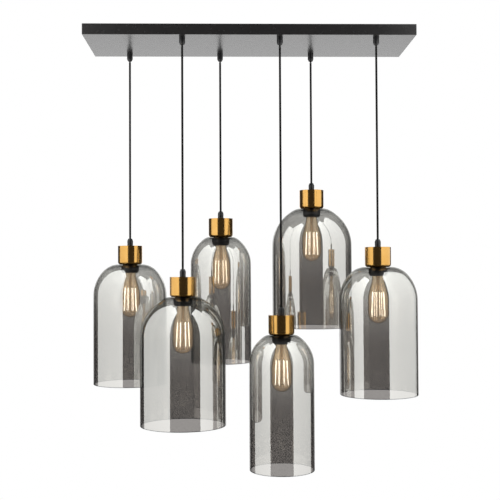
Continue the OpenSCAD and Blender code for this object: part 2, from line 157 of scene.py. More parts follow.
class Recipe:
    """A material's node tree while it is being written."""

    def __init__(self, name: str) -> None:
        """Starts an empty material.

        Args:
            name: the material's name.
        """
        self.material = bpy.data.materials.new(name)
        self.material.use_nodes = True
        self.tree = self.material.node_tree
        self.tree.nodes.clear()
        self.output = add_node(self.tree, "ShaderNodeOutputMaterial")

    def node(self, kind: str, inputs: Inputs | None = None, **settings: object) -> bpy.types.Node:
        """Adds a node to this material."""
        return add_node(self.tree, kind, inputs, **settings)

    def place(self) -> Socket:
        """Object coordinates in metres."""
        return self.node("ShaderNodeTexCoord").outputs["Object"]

    def attribute(self, name: str) -> Socket:
        """A number that the mesh carries at each vertex."""
        return self.node("ShaderNodeAttribute", attribute_name=name).outputs["Fac"]

    def calc(self, operation: str, first: Socket | float, second: Socket | float = 0.0) -> Socket:
        """The result of an operation on one or two numbers."""
        return self.node("ShaderNodeMath", {0: first, 1: second}, operation=operation).outputs[0]

    def noise(self, size_mm: float, detail: float) -> Socket:
        """Noise whose grain is about size_mm across."""
        inputs = {"Vector": self.place(), "Scale": 1 / (size_mm * MM), "Detail": detail}
        return self.node("ShaderNodeTexNoise", inputs).outputs["Fac"]

    def lines(self, sizes_mm: Triple) -> Socket:
        """Noise that is drawn out into lines where one axis has a far smaller size.

        Args:
            sizes_mm: the size of its grain along each axis.

        Returns:
            The noise.
        """
        inputs = {0: self.place(), 1: tuple(1 / (size * MM) for size in sizes_mm)}
        vector = self.node("ShaderNodeVectorMath", inputs, operation="MULTIPLY").outputs[0]
        inputs = {"Vector": vector, "Scale": 1.0, "Detail": 3.0}
        return self.node("ShaderNodeTexNoise", inputs).outputs["Fac"]

    def spread(
        self, value: Socket, low: Socket | float, high: Socket | float, start: float = 0.3,
        end: float = 0.7,
    ) -> Socket:
        """Maps a pattern onto a range, and holds it there.

        Args:
            value: the pattern.
            low: what it becomes up to start.
            high: what it becomes from end on.
            start: the pattern's value where the range begins.
            end: the pattern's value where the range ends.

        Returns:
            The mapped pattern.
        """
        inputs = {"Value": value, "From Min": start, "From Max": end, "To Min": low, "To Max": high}
        return self.node("ShaderNodeMapRange", inputs).outputs[0]

    def tint(
        self, value: Socket, dark: str, light: str, start: float = 0.3, end: float = 0.7
    ) -> Socket:
        """Colours a pattern from one hex colour to another.

        Args:
            value: the pattern.
            dark: its colour up to start.
            light: its colour from end on.
            start: the pattern's value where the blend begins.
            end: the pattern's value where the blend ends.

        Returns:
            The colour.
        """
        ramp = self.node("ShaderNodeValToRGB", {"Fac": value})
        stops = zip(ramp.color_ramp.elements, (start, end), (dark, light))
        for element, position, colour in stops:
            element.position = position
            element.color = srgb(colour)
        return ramp.outputs["Color"]

    def bump(self, height: Socket, depth_mm: float, strength: float) -> Socket:
        """Turns a height pattern into a normal."""
        inputs = {"Height": height, "Distance": depth_mm * MM, "Strength": strength}
        return self.node("ShaderNodeBump", inputs).outputs["Normal"]

    def surface(self, inputs: Inputs) -> Socket:
        """Adds the main shader."""
        return self.node("ShaderNodeBsdfPrincipled", inputs).outputs[0]

    def finish(self, shader: Socket) -> bpy.types.Material:
        """Links the last shader to the output and returns the material."""
        self.tree.links.new(shader, self.output.inputs["Surface"])
        return self.material


@dataclass(frozen=True)
class Plastic:
    """A moulded or coated finish with fine grain.

    Args:
        name: the material's name.
        dark: hex colour of its hollows.
        light: hex colour of its high spots.
        grain: size of the grain in mm.
        depth: depth of the grain in mm.
        shine: lowest and highest roughness.
    """

    name: str
    dark: str
    light: str
    grain: float
    depth: float
    shine: Span

    def build(self) -> bpy.types.Material:
        """Writes the material.

        Returns:
            The finished material.
        """
        r = Recipe(self.name)
        return r.finish(r.surface({
            "Base Color": r.tint(r.noise(35, 4), self.dark, self.light),
            "Roughness": r.spread(r.noise(12, 5), *self.shine),
            "Normal": r.bump(r.noise(self.grain, 2), self.depth, 0.6),
            "IOR": 1.5,
        }))


@dataclass(frozen=True)
class Metal:
    """A bare or plated metal.

    Args:
        name: the material's name.
        dark: hex colour of its duller patches.
        light: hex colour of its brighter patches.
        shine: lowest and highest roughness.
        lines: size in mm of its fine lines along each axis.
        depth: depth of the lines in mm.
    """

    name: str
    dark: str
    light: str
    shine: Span
    lines: Triple
    depth: float

    def build(self) -> bpy.types.Material:
        """Writes the material.

        Returns:
            The finished material.
        """
        r = Recipe(self.name)
        lines = r.lines(self.lines)
        return r.finish(r.surface({
            "Base Color": r.tint(r.noise(28, 4), self.dark, self.light),
            "Metallic": 1.0,
            "Roughness": r.spread(lines, *self.shine),
            "Normal": r.bump(lines, self.depth, 0.5),
        }))


@dataclass(frozen=True)
class Braid:
    """A textile sleeve braided round a cord that runs along Z.

    Args:
        name: the material's name.
        dark: hex colour between the strands.
        light: hex colour on the strands.
        turns: how many strands lie round the cord in each direction.
        rise: height in mm of one turn of a strand.
    """

    name: str
    dark: str
    light: str
    turns: int = 8
    rise: float = 9.0

    def build(self) -> bpy.types.Material:
        """Writes the material.

        Returns:
            The finished material.
        """
        r = Recipe(self.name)
        normal = r.node("ShaderNodeNewGeometry").outputs["Normal"]
        facing = r.node("ShaderNodeSeparateXYZ", {0: normal}).outputs
        height = r.node("ShaderNodeSeparateXYZ", {0: r.place()}).outputs["Z"]
        angle = r.calc("ARCTAN2", facing["Y"], facing["X"])
        climb = r.calc("MULTIPLY", height, 2 * math.pi / (self.rise * MM))
        strands = [
            r.calc("SINE", r.calc("MULTIPLY", r.calc(way, angle, climb), float(self.turns)))
            for way in ("ADD", "SUBTRACT")
        ]
        lift = r.calc("ADD", r.calc("MAXIMUM", *strands), r.noise(0.25, 2))
        return r.finish(r.surface({
            "Base Color": r.tint(lift, self.dark, self.light, 0.2, 1.0),
            "Roughness": 0.85,
            "Specular IOR Level": 0.06,
            "Sheen Weight": 0.03,
            "Sheen Roughness": 0.5,
            "Normal": r.bump(lift, 0.03, 0.2),
        }))


@dataclass(frozen=True)
class Glass:
    """Thin tinted glass that mirrors part of what is in front of it and lets the rest through.

    A shade's mesh carries "smoke", from 0 at its seat to 1 where its smoke is full, and a lit
    bulb's mesh carries the part of the painted glow of the filament's light that each height shows.

    Args:
        name: the material's name.
        through: hex colour of what one skin lets through, seen straight on.
        mirror: hex colour of the mirrored part.
        straight: share that is mirrored straight on.
        edge: share that would be mirrored at the outline.
        blur: roughness of the mirrored part.
        ripple: depth in mm of the glass's slow ripples.
        top: hex colour of what it lets through at a shade's top, where its smoke fades out.
        bare: share that is mirrored there, straight on.
        glow: brightness of the painted warm glow of the filament's light, which the glass emits
            itself.
        rim: how much of both shares is left at the very outline, a painted dark edge where light
            runs along the wall.
    """

    name: str
    through: str
    mirror: str
    straight: float
    edge: float
    blur: float
    ripple: float = 0.0
    top: str = ""
    bare: float = 0.0
    glow: float = 0.0
    rim: float = 0.45

    # Colour of the painted glow of the filament's light in a bulb's glass.
    PAINTED_GLOW_COLOUR: ClassVar[str] = "#ffe6c8"
    # How the view's slant is measured, and how fast the mirror grows with it.
    BLEND: ClassVar[float] = 0.35
    GROWTH: ClassVar[float] = 3.0
    # The slants between which the painted dark outline sets in.
    OUTLINE: ClassVar[Span] = (0.45, 0.75)
    # What the painted dark outline leaves at a bare top, and how much smoke brings it down to rim.
    BARE_RIM: ClassVar[float] = 0.9
    RIM_SMOKE: ClassVar[float] = 0.7
    # Painted shade beside the dark ring: the mirrored part left there, and the smoke that brings it
    # back.
    SEAT_SHADE_MIRROR: ClassVar[float] = 0.1
    SEAT_SHADE_MIRROR_ZONE: ClassVar[Span] = (0.025, 0.07)
    # The same painted shade on the light that comes through.
    SEAT_SHADE_LIGHT: ClassVar[float] = 0.72
    SEAT_SHADE_LIGHT_ZONE: ClassVar[Span] = (0.025, 0.09)
    # Size in mm of the slow ripples.
    RIPPLE: ClassVar[float] = 45.0

    def build(self) -> bpy.types.Material:
        """Writes the material.

        Returns:
            The finished material.
        """
        r = Recipe(self.name)
        facing = r.node("ShaderNodeLayerWeight", {"Blend": self.BLEND}).outputs["Facing"]
        tint, straight, rim = srgb(self.through)[:3], self.straight, self.rim
        seat_shade_mirror = seat_shade_light = 1.0
        if self.top:
            smoke = r.attribute("smoke")
            tint = r.tint(smoke, self.top, self.through, 0.0, 1.0)
            straight = r.spread(smoke, self.bare, self.straight, 0.0, 1.0)
            rim = r.spread(smoke, self.BARE_RIM, self.rim, 0.0, self.RIM_SMOKE)
            # Painted shade: just below the seat, under the cup, the glass loses most of its mirror
            # and some light.
            seat_shade_mirror = r.spread(smoke, self.SEAT_SHADE_MIRROR, 1.0, *self.SEAT_SHADE_MIRROR_ZONE)
            seat_shade_light = r.spread(smoke, self.SEAT_SHADE_LIGHT, 1.0, *self.SEAT_SHADE_LIGHT_ZONE)
        # Painted dark outline: both shares fall away where the glass is seen edge on.
        left = r.spread(facing, 1.0, rim, *self.OUTLINE)
        share = r.spread(r.calc("POWER", facing, self.GROWTH), straight, self.edge, 0.0, 1.0)
        share = r.calc("MULTIPLY", r.calc("MULTIPLY", share, left), seat_shade_mirror)
        inputs = {0: tint, "Scale": r.calc("MULTIPLY", left, seat_shade_light)}
        dimmed = r.node("ShaderNodeVectorMath", inputs, operation="SCALE").outputs[0]
        clear = r.node("ShaderNodeBsdfTransparent", {"Color": dimmed}).outputs[0]
        inputs = {"Base Color": srgb(self.mirror), "Metallic": 1.0, "Roughness": self.blur}
        if self.glow:
            # Painted glow: the glass itself emits the filament's light, less toward the neck.
            painted_glow = r.spread(facing, self.glow, 0.0, 0.0, 1.0)
            painted_glow = r.calc("MULTIPLY", painted_glow, r.attribute("glow_share"))
            inputs["Emission Color"] = srgb(self.PAINTED_GLOW_COLOUR)
            inputs["Emission Strength"] = r.calc("DIVIDE", painted_glow, share)
        if self.ripple:
            inputs["Normal"] = r.bump(r.noise(self.RIPPLE, 1), self.ripple, 0.5)
        mixed = r.node("ShaderNodeMixShader", {0: share, 1: clear, 2: r.surface(inputs)})
        return r.finish(mixed.outputs[0])


@dataclass(frozen=True)
class Glow:
    """A hot filament.

    Args:
        name: the material's name.
        low: hex colour of its dimmer stretches.
        high: hex colour of its brightest stretches.
        strength: how brightly it glows.
    """

    name: str
    low: str
    high: str
    strength: float

    def build(self) -> bpy.types.Material:
        """Writes the material.

        Returns:
            The finished material.
        """
        r = Recipe(self.name)
        colour = r.tint(r.noise(6, 2), self.low, self.high)
        return r.finish(r.surface({
            "Base Color": colour,
            "Roughness": 0.5,
            "Emission Color": colour,
            "Emission Strength": self.strength,
        }))


class Finish(Enum):
    """Every finish on the object, by the real material."""

    BLACK_COAT = Plastic(
        "Black powder-coated steel", "#2a2929", "#2d2c2c", 0.7, 0.0012, (0.25, 0.28)
    )
    BLACK_SCREW = Plastic("Blackened steel screw", "#191817", "#262422", 0.5, 0.01, (0.3, 0.45))
    BLACK_PLASTIC = Plastic("Black moulded plastic", "#1a1a1b", "#232324", 0.7, 0.02, (0.3, 0.42))
    WHITE_PLASTIC = Plastic("White moulded plastic", "#dcdad2", "#e8e6e0", 0.6, 0.02, (0.4, 0.55))
    ZINC = Metal("Zinc-plated steel", "#9fa3a5", "#c4c7c8", (0.3, 0.45), (30, 1.2, 30), 0.01)
    BRASS = Metal("Spun brass", "#c0944f", "#c99e5b", (0.12, 0.2), (200, 200, 0.35), 0.004)
    CAP_BRASS = Metal(
        "Nickel-plated brass cap", "#b59a68", "#cdb37e", (0.18, 0.3), (60, 60, 0.5), 0.01
    )
    WIRE = Metal("Nickel support wire", "#8d7a5c", "#b39a70", (0.25, 0.4), (5, 5, 0.8), 0.005)
    BRAID = Braid("Black braided textile cord", "#1b1b1a", "#222120")
    SHADE_OUT = Glass(
        "Smoked glass, outer skin", "#d7d4d2", "#f3f4f0", 0.4, 0.66, 0.02, ripple=0.25,
        top="#f6f6f4", bare=0.3,
    )
    SHADE_IN = Glass(
        "Smoked glass, inner skin", "#dad8d6", "#eeefec", 0.06, 0.4, 0.03, top="#fbfbfa", bare=0.05
    )
    SHADE_RIM = Glass("Smoked glass, ground rim", "#5c5d5e", "#c9cccf", 0.35, 0.8, 0.08)
    # Its glow is a painted glow of the filament's light in the glass.
    BULB_GLASS = Glass("Amber-tinted bulb glass", "#f6f1e9", "#fff4e2", 0.09, 0.6, 0.02, glow=0.11)
    STEM_GLASS = Glass("Clear stem glass", "#efe6da", "#fff4e4", 0.3, 0.75, 0.05)
    FILAMENT = Glow("Hot filament", "#fffdfa", "#ffffff", 5.6)

    @cache
    def material(self) -> bpy.types.Material:
        """Its material, which is built once."""
        return self.value.build()


# Pieces


class Shape:
    """A piece's mesh while it is being made, in millimetres."""

    def __init__(self) -> None:
        """Starts an empty mesh."""
        self.bm = bmesh.new()

    def spin(
        self, outline: Sequence[Point], steps: int, close: bool = True, matrix: Matrix | None = None
    ) -> "Shape":
        """Turns a half outline of (radius, height) points about the Z axis.

        Args:
            outline: the points, in order.
            steps: how many faces lie round the turn.
            close: whether the last point joins the first.
            matrix: how the turned form is moved after that, or None.

        Returns:
            This shape.
        """
        before = set(self.bm.verts)
        verts = [self.bm.verts.new((r, 0.0, z)) for r, z in outline]
        pairs = list(zip(verts, verts[1:])) + ([(verts[-1], verts[0])] if close else [])
        edges = [self.bm.edges.new(pair) for pair in pairs]
        bmesh.ops.spin(
            self.bm, geom=verts + edges, cent=(0, 0, 0), axis=(0, 0, 1), angle=2 * math.pi,
            steps=steps, use_merge=True)
        fresh = [v for v in self.bm.verts if v not in before]
        bmesh.ops.remove_doubles(self.bm, verts=fresh, dist=1e-4)
        fresh = [v for v in self.bm.verts if v not in before]
        if matrix:
            bmesh.ops.transform(self.bm, matrix=matrix, verts=fresh)
        return self

    def boxes(
        self, size: Place, at: Place, count: int = 1, matrix: Matrix | None = None
    ) -> "Shape":
        """Adds a box, or a ring of boxes round the Z axis.

        Args:
            size: the first one's size along X, Y and Z.
            at: its middle.
            count: how many there are.
            matrix: how all of them are moved after that, or None.

        Returns:
            This shape.
        """
        for k in range(count):
            turn = Matrix.Rotation(2 * math.pi * k / count, 4, "Z")
            made = bmesh.ops.create_cube(self.bm, size=1.0)["verts"]
            bmesh.ops.scale(self.bm, vec=size, verts=made)
            bmesh.ops.translate(self.bm, vec=at, verts=made)
            bmesh.ops.transform(self.bm, matrix=matrix @ turn if matrix else turn, verts=made)
        return self

    def rod(self, start: Place, end: Place, width: float, sides: int) -> "Shape":
        """Adds a straight round rod.

        Args:
            start: the middle of its first end.
            end: the middle of its other end.
            width: its diameter.
            sides: how many faces lie round it.

        Returns:
            This shape.
        """
        a, b = Vector(start), Vector(end)
        turn = Vector((0, 0, 1)).rotation_difference(b - a).to_matrix().to_4x4()
        bmesh.ops.create_cone(
            self.bm, cap_ends=True, segments=sides, radius1=width / 2, radius2=width / 2,
            depth=(b - a).length, matrix=Matrix.Translation((a + b) / 2) @ turn)
        return self

    def ball(self, centre: Place, width: float, steps: int) -> "Shape":
        """Adds a ball."""
        bmesh.ops.create_uvsphere(
            self.bm, u_segments=steps * 2, v_segments=steps, radius=width / 2,
            matrix=Matrix.Translation(Vector(centre)))
        return self

    def soften(self, width: float, angle: float) -> "Shape":
        """Rounds the sharp edges.

        Args:
            width: how far from the edge the rounding begins.
            angle: the angle in degrees that an edge has to pass.

        Returns:
            This shape.
        """
        edges = [
            e for e in self.bm.edges
            if len(e.link_faces) == 2 and e.calc_face_angle(0.0) > math.radians(angle)
        ]
        bevel(self.bm, edges, width, 2)
        return self

    def move(self, by: Place) -> "Shape":
        """Moves all of it."""
        bmesh.ops.translate(self.bm, vec=Vector(by), verts=self.bm.verts)
        return self

    def mark(self, name: str, value: Callable[[float], float]) -> "Shape":
        """Gives each vertex a number that a finish reads.

        Args:
            name: the attribute that holds it.
            value: works it out from the vertex's height.

        Returns:
            This shape.
        """
        layer = self.bm.verts.layers.float.new(name)
        for vert in self.bm.verts:
            vert[layer] = value(vert.co.z)
        return self

    def finish(
        self, name: str, finishes: Sequence[Finish], body: str, nodes: Sequence[str] = (),
        slot: str | None = None, pick: Callable[[bmesh.types.BMFace], int] | None = None,
        crease: float = 35.0,
    ) -> bpy.types.Object:
        """Makes the Blender object, at the origin, in metres.

        Args:
            name: the piece's name.
            finishes: its finishes, in the order that pick numbers them.
            body: the body that it rides on.
            nodes: the CAD nodes that it stands for.
            slot: a material slot name; not used.
            pick: gives each face the number of its finish.
            crease: edges sharper than this many degrees stay sharp.

        Returns:
            The object.
        """
        bmesh.ops.recalc_face_normals(self.bm, faces=self.bm.faces)
        for face in self.bm.faces:
            face.smooth = True
            face.material_index = pick(face) if pick else 0
        for edge in self.bm.edges:
            if len(edge.link_faces) == 2 and edge.calc_face_angle(0.0) > math.radians(crease):
                edge.smooth = False
        bmesh.ops.scale(self.bm, vec=(MM, MM, MM), verts=self.bm.verts)
        mesh = bpy.data.meshes.new(name)
        self.bm.to_mesh(mesh)
        self.bm.free()
        for finish in finishes:
            mesh.materials.append(finish.material())
        piece = bpy.data.objects.new(name, mesh)
        bpy.context.scene.collection.objects.link(piece)
        piece.modifiers.new("Even shading", "WEIGHTED_NORMAL").keep_sharp = True
        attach(piece, body)
        if nodes:
            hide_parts(*nodes)
        log.info("%s rides on %s, %d faces", name, body, len(mesh.polygons))
        return piece


def bevel(
    bm: bmesh.types.BMesh, edges: Sequence[bmesh.types.BMEdge], width: float, steps: int
) -> None:
    """Rounds edges."""
    bmesh.ops.bevel(
        bm, geom=edges, affect="EDGES", offset=width, segments=steps, profile=0.5, material=-1,
        clamp_overlap=True)


def arc(centre: Point, radius: float, start: float, end: float, steps: int) -> list[Point]:
    """Points on an arc.

    Args:
        centre: its centre.
        radius: its radius.
        start: the angle of its first point, in degrees from the +radius direction toward +height.
        end: the angle of its last point.
        steps: how many pieces it has.

    Returns:
        Its points, one more than its pieces.
    """
    angles = [math.radians(start + (end - start) * k / steps) for k in range(steps + 1)]
    return [(centre[0] + radius * math.cos(a), centre[1] + radius * math.sin(a)) for a in angles]


def cover(node: str, finish: Finish) -> None:
    """Gives a procedural finish to a CAD node that keeps its form.

    Args:
        node: the node.
        finish: its finish.
    """
    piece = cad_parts[node]
    piece.data.materials.clear()
    piece.data.materials.append(finish.material())
    log.info("%s keeps its CAD form in %s", node, finish.value.name)


@dataclass(frozen=True)
class Grip:
    """A cord grip: foot at zero, ribbed nut and tapered nose above it, threaded tail below.

    Args:
        tail: length of its threaded tail.
        bore: radius of its bore.
        mouth: radius at its mouth.
        nose: height of its nose.
        ribs: how many ribs its nut has.
        rib_size: each rib's size outward, sideways and in height.
        rib_at: the middle of the first rib.
    """

    tail: float
    bore: float = 2.6
    mouth: float = 3.2
    nose: float = 4.5
    ribs: int = 20
    rib_size: Triple = (0.5, 0.7, 6.5)
    rib_at: Triple = (GRIP_D / 2 - 0.24, 0.0, 9.0)

    def outline(self) -> list[Point]:
        """Its half outline.

        Returns:
            The points, from the tail's end up the outside and down the bore.
        """
        top, r, nut = GRIP_L, GRIP_D / 2, GRIP_L - self.nose
        return [
            (5.0, -self.tail), (5.0, 0.0), (r - 0.3, 0.0), (r, 0.4), (r, 4.2), (r - 0.5, 4.5),
            (r - 0.5, 4.9), (r, 5.2), (r, nut - 0.6), (r - 0.35, nut), (4.9, top - 0.5), (4.5, top),
            (self.mouth, top), (self.bore, nut), (self.bore, -self.tail),
        ]

    def add(self, shape: Shape, at: Vector, up: bool) -> None:
        """Adds the grip to a shape.

        Args:
            shape: what gets it.
            at: where its foot stands.
            up: whether its nose points up.
        """
        matrix = Matrix.Translation(at) @ Matrix.Rotation(0 if up else math.pi, 4, "X")
        shape.spin(self.outline(), 40, matrix=matrix)
        shape.boxes(self.rib_size, self.rib_at, self.ribs, matrix)


@dataclass(frozen=True)
class Ceiling:
    """The bar and what is in and on it.

    Args:
        length: the bar's length.
        width: its width.
        height: its height.
        sheet: thickness of its steel.
        fold: outside radius of its folds.
    """

    length: float = 770.0
    width: float = 220.0
    height: float = 25.0
    sheet: float = 1.5
    fold: float = 1.1

    BODY: ClassVar[str] = "ceiling_bar"
    # How close two places are that count as the same.
    NEAR: ClassVar[float] = 0.01

    def canopy(self) -> None:
        """Folded tray, open to the ceiling, with softly rounded folds."""
        size = (self.length, self.width, self.height)
        shape = Shape().boxes(size, (0, 0, -self.height / 2))
        bm = shape.bm
        top = max(bm.faces, key=lambda f: f.calc_center_median().z)
        bmesh.ops.inset_region(bm, faces=[top], thickness=self.sheet, depth=0.0)
        floor = bmesh.ops.extrude_discrete_faces(bm, faces=[top])["faces"][0]
        bmesh.ops.translate(bm, vec=(0, 0, self.sheet - self.height), verts=floor.verts)
        bevel(bm, [e for e in bm.edges if self._on_outside(e)], self.fold, 3)
        shape.finish(
            "Bar_folded_tray", [Finish.BLACK_COAT], self.BODY, ["bar_canopy"], "black_coat",
            crease=50)

    def _on_outside(self, edge: bmesh.types.BMEdge) -> bool:
        """Tells the tray's folds from its other edges.

        Args:
            edge: the edge.

        Returns:
            Whether it lies along the tray's bottom or up one of its corners.
        """
        ends = [v.co for v in edge.verts]
        at_end = [abs(abs(p.x) - self.length / 2) < self.NEAR for p in ends]
        at_side = [abs(abs(p.y) - self.width / 2) < self.NEAR for p in ends]
        low = all(abs(p.z + self.height) < self.NEAR for p in ends)
        upright = abs(ends[0].z - ends[1].z) > 1 and at_end[0]
        return all(e or s for e, s in zip(at_end, at_side)) and (low or upright)

    def grips(self) -> None:
        """Six cord grips with their lock nuts, under the bar."""
        shape = Shape()
        nut = [(5.05, 0.0), (8.0, 0.0), (8.0, 3.0), (5.05, 3.0)]
        for lamp in LAMPS:
            at = Vector((lamp.x, lamp.y, -self.height))
            Grip(tail=6.0).add(shape, at, up=False)
            shape.spin(nut, 6, matrix=Matrix.Translation(at + Vector((0, 0, self.sheet))))
        shape.finish(
            "Bar_cord_grips", [Finish.BLACK_PLASTIC], self.BODY, ["bar_cord_grips"],
            "black_plastic")

    def build(self) -> None:
        """Makes the pieces and gives the hidden CAD nodes their finishes."""
        self.canopy()
        self.grips()
        cover("ceiling_bracket", Finish.ZINC)
        cover("side_screws", Finish.BLACK_SCREW)
        cover("terminal_block", Finish.WHITE_PLASTIC)
        cover("cord_tails", Finish.BRAID)


class ShadeOutline:
    """The half outline of a blown shade, at any depth inside its outer skin."""

    def __init__(self, size: Size) -> None:
        """Works out how far down the ball's centre is, and the slope where its blend ends.

        Args:
            size: which shade it is.
        """
        diameter, self.height, self.blend = size.value
        self.radius = diameter / 2
        self.centre = self.blend + math.sqrt((self.radius - self.blend) ** 2 - SEAT_R**2)
        self.lean = math.degrees(math.asin(SEAT_R / (self.radius - self.blend)))

    def skin(self, inset: float) -> list[Point]:
        """From the hole over the seat, blend and ball down to the end of the straight wall.

        Args:
            inset: how deep inside the outer skin it lies.

        Returns:
            Its points.
        """
        seat = [(HOLE_R, -inset), ((HOLE_R + SEAT_R) / 2, -inset)]
        blend = arc((SEAT_R, -self.blend), self.blend - inset, 90, 90 - self.lean, 10)
        ball = arc((0, -self.centre), self.radius - inset, 90 - self.lean, 0, 28)
        length = self.height - self.centre - GLASS_T / 2
        wall = [(self.radius - inset, -self.centre - length * k / 6) for k in range(1, 7)]
        return seat + blend + ball[1:] + wall

    def loop(self) -> list[Point]:
        """Both skins with a rounded rim.

        Returns:
            The points of the closed outline.
        """
        half = GLASS_T / 2
        rim = arc((self.radius - half, half - self.height), half, 0, -180, 6)
        return self.skin(0.0) + rim[1:-1] + list(reversed(self.skin(GLASS_T)))

    def side(self, face: bmesh.types.BMFace) -> int:
        """Sorts the shade's faces by finish.

        Args:
            face: one of them.

        Returns:
            0 outside, 1 inside and 2 on the rim.
        """
        centre = face.calc_center_median()
        if centre.z < GLASS_T / 2 - self.height:
            return 2
        if centre.z < -self.centre:
            return 0 if math.hypot(centre.x, centre.y) > self.radius - GLASS_T / 2 else 1
        away = face.normal.dot(Vector((centre.x, centre.y, centre.z + self.centre)))
        return 0 if away > 0 else 1


@dataclass(frozen=True)
class Bulb:
    """A tubular filament bulb, with heights from the glass seat of its lamp.

    Args:
        number: its lamp's number.
        seat: where that seat is.
        radius: radius of its tube.
        neck: radius of its neck, below the cap.
        collar: radius of the glass inside the cap.
        wall: thickness of its glass.
        foot: height of the cap's lower end.
        taper: height over which the neck widens.
        tip: height of its lower end.
        top: height of its centre contact.
        cap: radius of the cap between its threads.
        button: height of the stem's rounded end.
        high: height of the filament's upper ends.
        low: height of its lower ends.
        strands: how many strands the filament has.
    """

    number: int
    seat: Vector
    radius: float = 24.0
    neck: float = 13.6
    collar: float = 11.3
    wall: float = 0.8
    foot: float = -18.0
    taper: float = 58.0
    tip: float = -131.0
    top: float = 9.0
    cap: float = 12.3
    button: float = -54.0
    high: float = -58.0
    low: float = -115.0
    strands: int = 8

    # The painted glow's share at the neck, and the heights between which it grows to full.
    NECK_GLOW_SHARE: ClassVar[float] = 0.45
    GLOW_SHARE_ZONE: ClassVar[Span] = (-30.0, -65.0)

    @property
    def body(self) -> str:
        """The body that it rides on."""
        return f"bulb_{self.number}"

    def name(self, words: str) -> str:
        """A piece's name with the lamp's number."""
        return f"{words}_{self.number}"

    def glow_share(self, height: float) -> float:
        """How much of the painted glow of the filament's light the glass shows.

        Args:
            height: where on the glass.

        Returns:
            The part of it, up to 1.
        """
        start, end = self.GLOW_SHARE_ZONE
        part = min(max((height - start) / (end - start), 0.0), 1.0)
        return self.NECK_GLOW_SHARE + (1 - self.NECK_GLOW_SHARE) * part

    def skin(self, inset: float) -> list[Point]:
        """One skin's half outline, from the collar to the tip.

        Args:
            inset: how deep inside the outer skin it lies.

        Returns:
            Its points.
        """
        neck = []
        for k in range(25):
            s = k / 24
            radius = self.neck + (self.radius - self.neck) * s * s * (3 - 2 * s)
            neck.append((radius - inset, self.foot - 1.5 - self.taper * s))
        collar = [(self.collar - inset, self.foot + 6), (self.collar - inset, self.foot - 0.3)]
        end = arc((0, self.tip + self.radius), self.radius - inset, 0, -90, 14)
        return collar + neck + end[:-1] + [(0.0, self.tip + inset)]

    def glass(self) -> None:
        """The tube, open where its neck sits in the cap."""
        shape = Shape().spin(self.skin(0.0) + list(reversed(self.skin(self.wall))), 64)
        # The glass carries its share of the painted glow at each height.
        shape.mark("glow_share", self.glow_share).move(self.seat).finish(
            self.name("Bulb_glass"), [Finish.BULB_GLASS], self.body, [self.name("bulb_glass")],
            "amber_glass")

    def screw_cap(self) -> None:
        """The screw cap with its rounded threads and its centre contact."""
        top, r, foot = self.top, self.cap, self.foot
        outline = [(0.0, top), (4.0, top), (4.0, top - 1), (10.3, top - 3), (r, 3.0)]
        for k in range(4, -1, -1):
            middle = foot + 4 + 3.6 * k
            outline += [(r, middle + 1.2)] + arc((r, middle), 0.8, 75, -75, 6) + [(r, middle - 1.2)]
        outline += [
            (r, foot + 2.2), (13.1, foot + 1.8), (13.1, foot), (11.4, foot), (11.4, 2.0), (0.0, 2.0)
        ]
        Shape().spin(outline, 48).move(self.seat).finish(
            self.name("Bulb_cap"), [Finish.CAP_BRASS], self.body, [self.name("bulb_base")],
            "bulb_metal")

    def stem(self) -> None:
        """The glass stem that carries the wires, down to its rounded button."""
        foot, button = self.foot, self.button
        outline = [
            (0.0, 1.7), (2.0, 1.7), (2.0, foot + 5), (10.35, foot + 5), (10.35, foot + 4),
            (7.0, foot - 3), (3.6, foot - 8), (3.0, foot - 14), (3.0, button + 4),
        ]
        outline += arc((0, button), 4.0, 48, -90, 8)[:-1] + [(0.0, button - 4)]
        Shape().spin(outline, 32, close=False).move(self.seat).finish(
            self.name("Bulb_stem"), [Finish.STEM_GLASS], self.body, slot="bulb_metal")

    def filament(self) -> None:
        """The support wires, and the glowing strands between their ends."""
        wires, strands = Shape(), Shape()
        wires.rod((0, 0, self.button), (0, 0, self.low), 1.6, 10)
        for k in range(self.strands):
            turn = Matrix.Rotation(2 * math.pi * (k + 0.5) / self.strands, 3, "Z")
            above = turn @ Vector((13.5, 0, self.high))
            below = turn @ Vector((16.2, 0, self.low))
            wires.rod((0, 0, self.button), above, 0.7, 6)
            wires.rod((0, 0, self.low + 0.9), below, 0.7, 6)
            wires.ball(above, 1.1, 4).ball(below, 1.1, 4)
            strands.rod(above, below, 0.9, 8)
        wires.move(self.seat).finish(
            self.name("Bulb_support_wires"), [Finish.WIRE], self.body, slot="bulb_metal")
        strands.move(self.seat).finish(
            self.name("Bulb_filament"), [Finish.FILAMENT], self.body, slot="bulb_metal")

    def build(self) -> None:
        """Makes the bulb's pieces."""
        self.glass()
        self.screw_cap()
        self.stem()
        self.filament()


